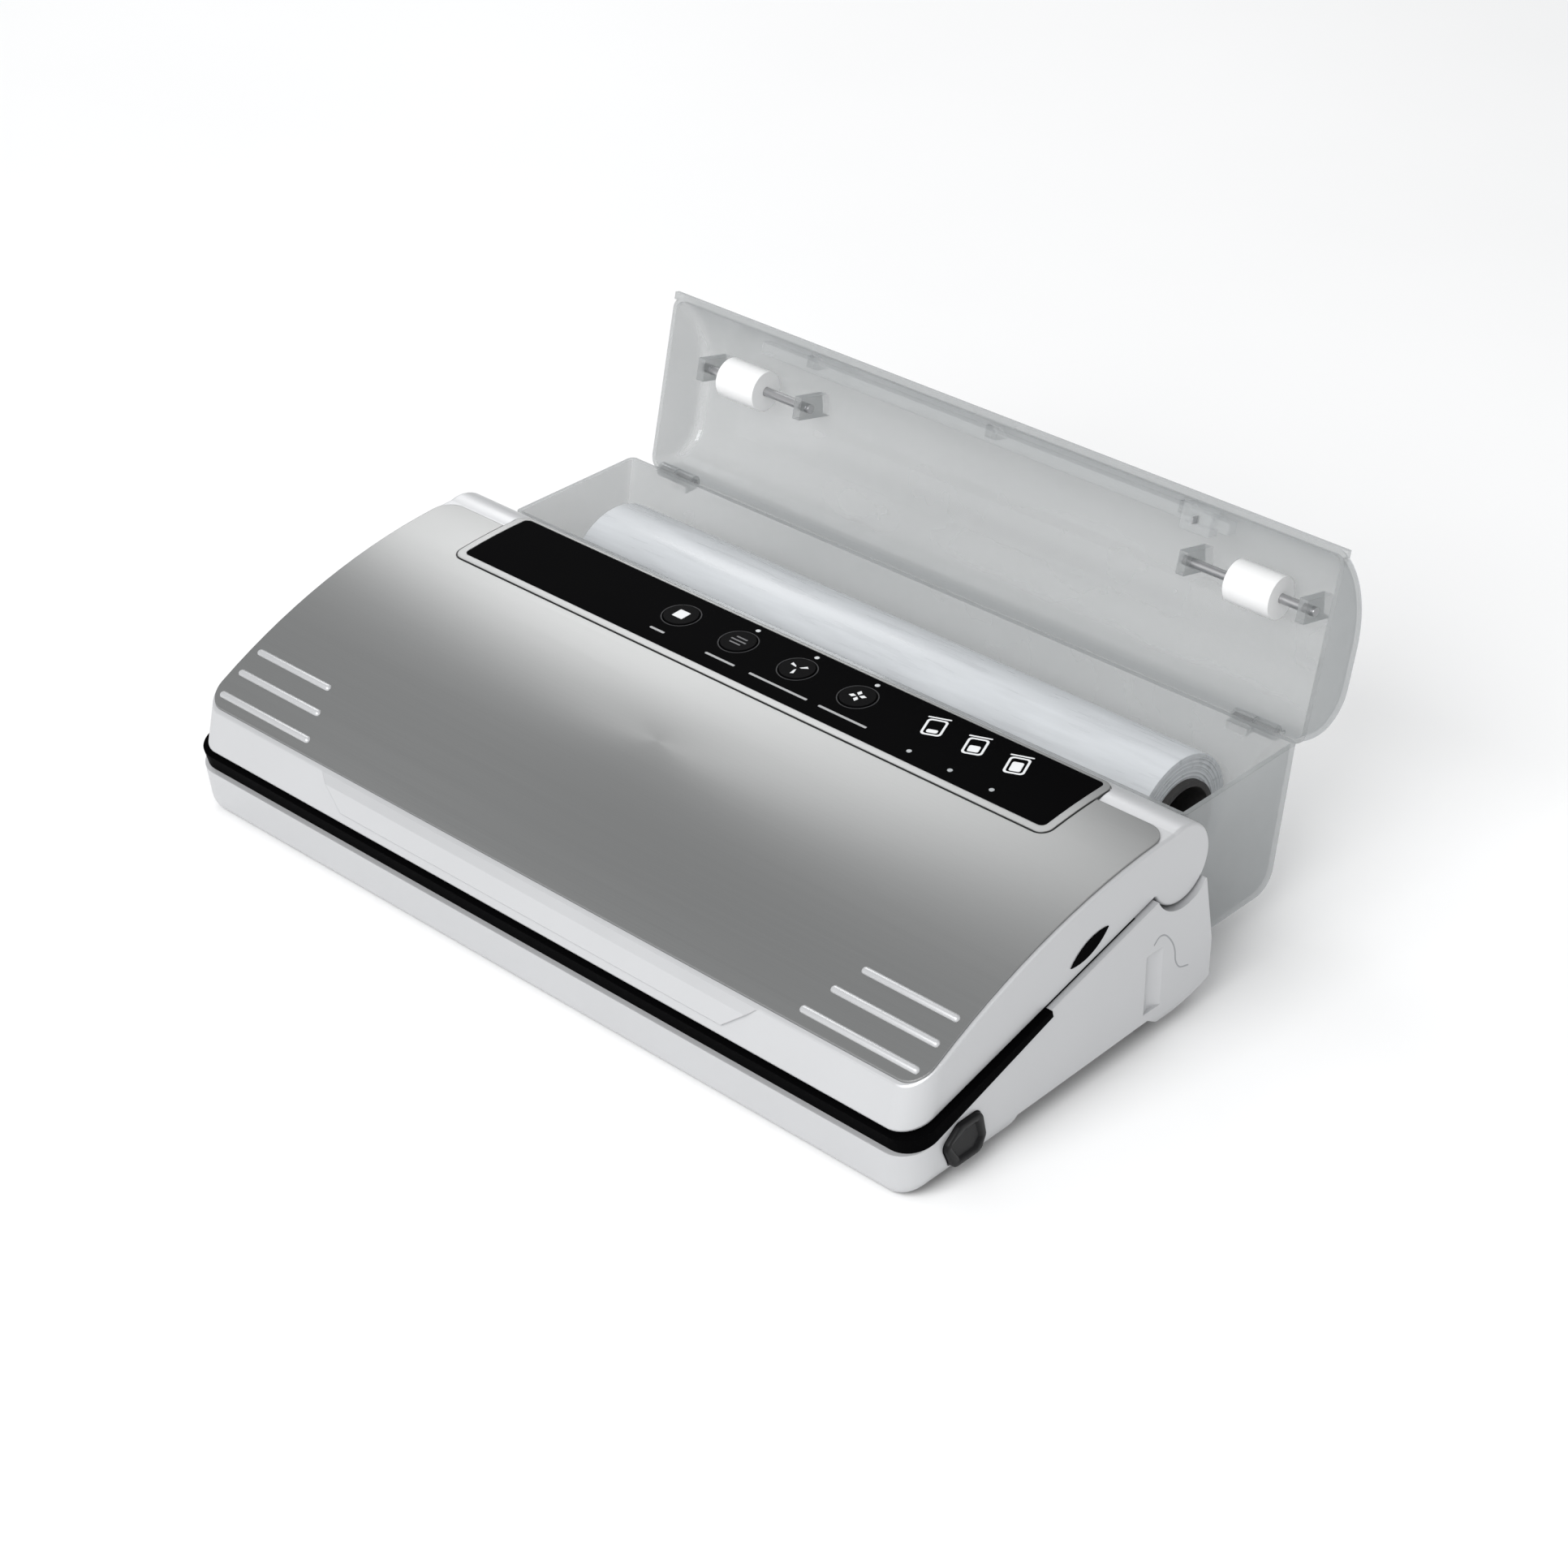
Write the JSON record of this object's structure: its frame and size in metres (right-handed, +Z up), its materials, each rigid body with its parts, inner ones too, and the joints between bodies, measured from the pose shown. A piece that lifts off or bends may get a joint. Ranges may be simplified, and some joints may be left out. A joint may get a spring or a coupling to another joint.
{
  "type": "vacuum sealer",
  "caption": "Countertop vacuum sealer with a curved hinged lid, touch panel, side release buttons and a rear film box with a domed clear lid",
  "frame": {"origin": "centre of the bounding box's bottom face, on the table under the object with its film box lid open", "axes": "+X runs to the right along the front edge, +Y runs from the front edge to the film box, +Z up"},
  "size_m": [0.4, 0.2874, 0.1498],
  "materials": {
    "silver_paint": "satin silver paint on plastic",
    "brushed_sheet": "fine brushed sheet",
    "black_gloss": "gloss black",
    "black_matte": "moulded black",
    "smoke_clear": "translucent grey plastic",
    "white_plastic": "moulded white",
    "film": "wound clear film, whitish",
    "card": "dark core tube",
    "grey_rubber": "soft foam rubber",
    "red_silicone": "grey silicone strip",
    "brown_tape": "non-stick cloth tape",
    "bare_steel": "bare steel",
    "nickel_strip": "thin heating strip",
    "copper": "enamelled copper",
    "circuit_green": "coated board",
    "lamp_clear": "frosted lens",
    "key_black": "gloss black key"
  },
  "bodies": {
    "base": {"base_shell": "silver_paint", "floor_cover": "black_matte", "rubber_feet": "grey_rubber", "floor_screws": "bare_steel", "cord_grommet": "grey_rubber", "deck": "black_gloss", "seal_bar": "black_matte", "heating_strip": "nickel_strip", "seal_tape": "brown_tape", "lower_gasket": "grey_rubber", "vacuum_nozzle": "white_plastic", "vacuum_hose": "grey_rubber", "pump_motor": "bare_steel", "pump_cradle": "black_matte", "pump_head": "white_plastic", "pump_cover": "white_plastic", "transformer_core": "bare_steel", "transformer_winding": "copper", "power_board": "circuit_green", "vent_valve": "white_plastic", "lid_switch": "black_matte", "film_box": "smoke_clear", "box_screws": "bare_steel", "box_hinge_pins": "bare_steel", "release_spring_right": "bare_steel", "release_spring_left": "bare_steel"},
    "lid": {"lid_frame": "silver_paint", "lid_skin": "brushed_sheet", "side_inlays": "black_gloss", "lid_liner": "black_matte", "liner_screws": "bare_steel", "upper_gasket": "grey_rubber", "pressure_strip": "red_silicone", "lid_hooks": "black_matte", "lid_hinge_pins": "bare_steel", "panel_bezel": "brushed_sheet", "panel_plate": "black_gloss", "indicator_lamps": "lamp_clear", "control_board": "circuit_green", "key_switches": "black_matte"},
    "box_cover": {"box_lid": "smoke_clear", "roller_axles": "bare_steel", "cutter_rail": "smoke_clear"},
    "cutter": {"cutter_slider": "smoke_clear", "cutter_blade": "bare_steel"},
    "roller_right": {"guide_roller_right": "white_plastic"},
    "roller_left": {"guide_roller_left": "white_plastic"},
    "roll": {"film_roll": "film", "roll_core": "card"},
    "rotor": {"pump_shaft": "bare_steel"},
    "release_right": {"release_button_right": "black_matte", "latch_plate_right": "bare_steel"},
    "release_left": {"release_button_left": "black_matte", "latch_plate_left": "bare_steel"},
    "stop_key": {"stop_key": "key_black"},
    "seal_key": {"seal_key": "key_black"},
    "vacuum_key": {"vacuum_key": "key_black"},
    "mode_key": {"mode_key": "key_black"}
  },
  "joints": [
    {"name": "lid_hinge", "type": "hinge", "parent": "base", "child": "lid", "pos_m": [0, 0.00779, 0.072], "axis": [-1, 0, 0], "range_deg": [0, 65]},
    {"name": "box_lid_hinge", "type": "hinge", "parent": "base", "child": "box_cover", "pos_m": [0, 0.10379, 0.0745], "axis": [1, 0, 0], "range_deg": [0, 103]},
    {"name": "cutter_slide", "type": "slide", "parent": "box_cover", "child": "cutter", "axis": [-1, 0, 0], "range_m": [0, 0.222]},
    {"name": "roll_spin", "type": "hinge", "parent": "base", "child": "roll", "pos_m": [0, 0.06109, 0.0467], "axis": [1, 0, 0], "continuous": true},
    {"name": "pump_spin", "type": "hinge", "parent": "base", "child": "rotor", "pos_m": [0, -0.04222, 0.027], "axis": [1, 0, 0], "continuous": true},
    {"name": "guide_spin_right", "type": "hinge", "parent": "box_cover", "child": "roller_right", "pos_m": [0.138, 0.128, 0.11715], "axis": [1, 0, 0], "continuous": true},
    {"name": "release_press_right", "type": "slide", "parent": "base", "child": "release_right", "axis": [-1, 0, 0], "range_m": [0, 0.003], "stiffness_N_per_m": 600, "deforming": ["release_spring_right"]},
    {"name": "guide_spin_left", "type": "hinge", "parent": "box_cover", "child": "roller_left", "pos_m": [-0.138, 0.128, 0.11715], "axis": [1, 0, 0], "continuous": true},
    {"name": "release_press_left", "type": "slide", "parent": "base", "child": "release_left", "axis": [1, 0, 0], "range_m": [0, 0.003], "stiffness_N_per_m": 600, "deforming": ["release_spring_left"]},
    {"name": "stop_key_press", "type": "slide", "parent": "lid", "child": "stop_key", "axis": [0, 0.041, -0.9992], "range_m": [0, 0.0006], "stiffness_N_per_m": 1500},
    {"name": "seal_key_press", "type": "slide", "parent": "lid", "child": "seal_key", "axis": [0, 0.041, -0.9992], "range_m": [0, 0.0006], "stiffness_N_per_m": 1500},
    {"name": "vacuum_key_press", "type": "slide", "parent": "lid", "child": "vacuum_key", "axis": [0, 0.041, -0.9992], "range_m": [0, 0.0006], "stiffness_N_per_m": 1500},
    {"name": "mode_key_press", "type": "slide", "parent": "lid", "child": "mode_key", "axis": [0, 0.041, -0.9992], "range_m": [0, 0.0006], "stiffness_N_per_m": 1500}
  ]
}
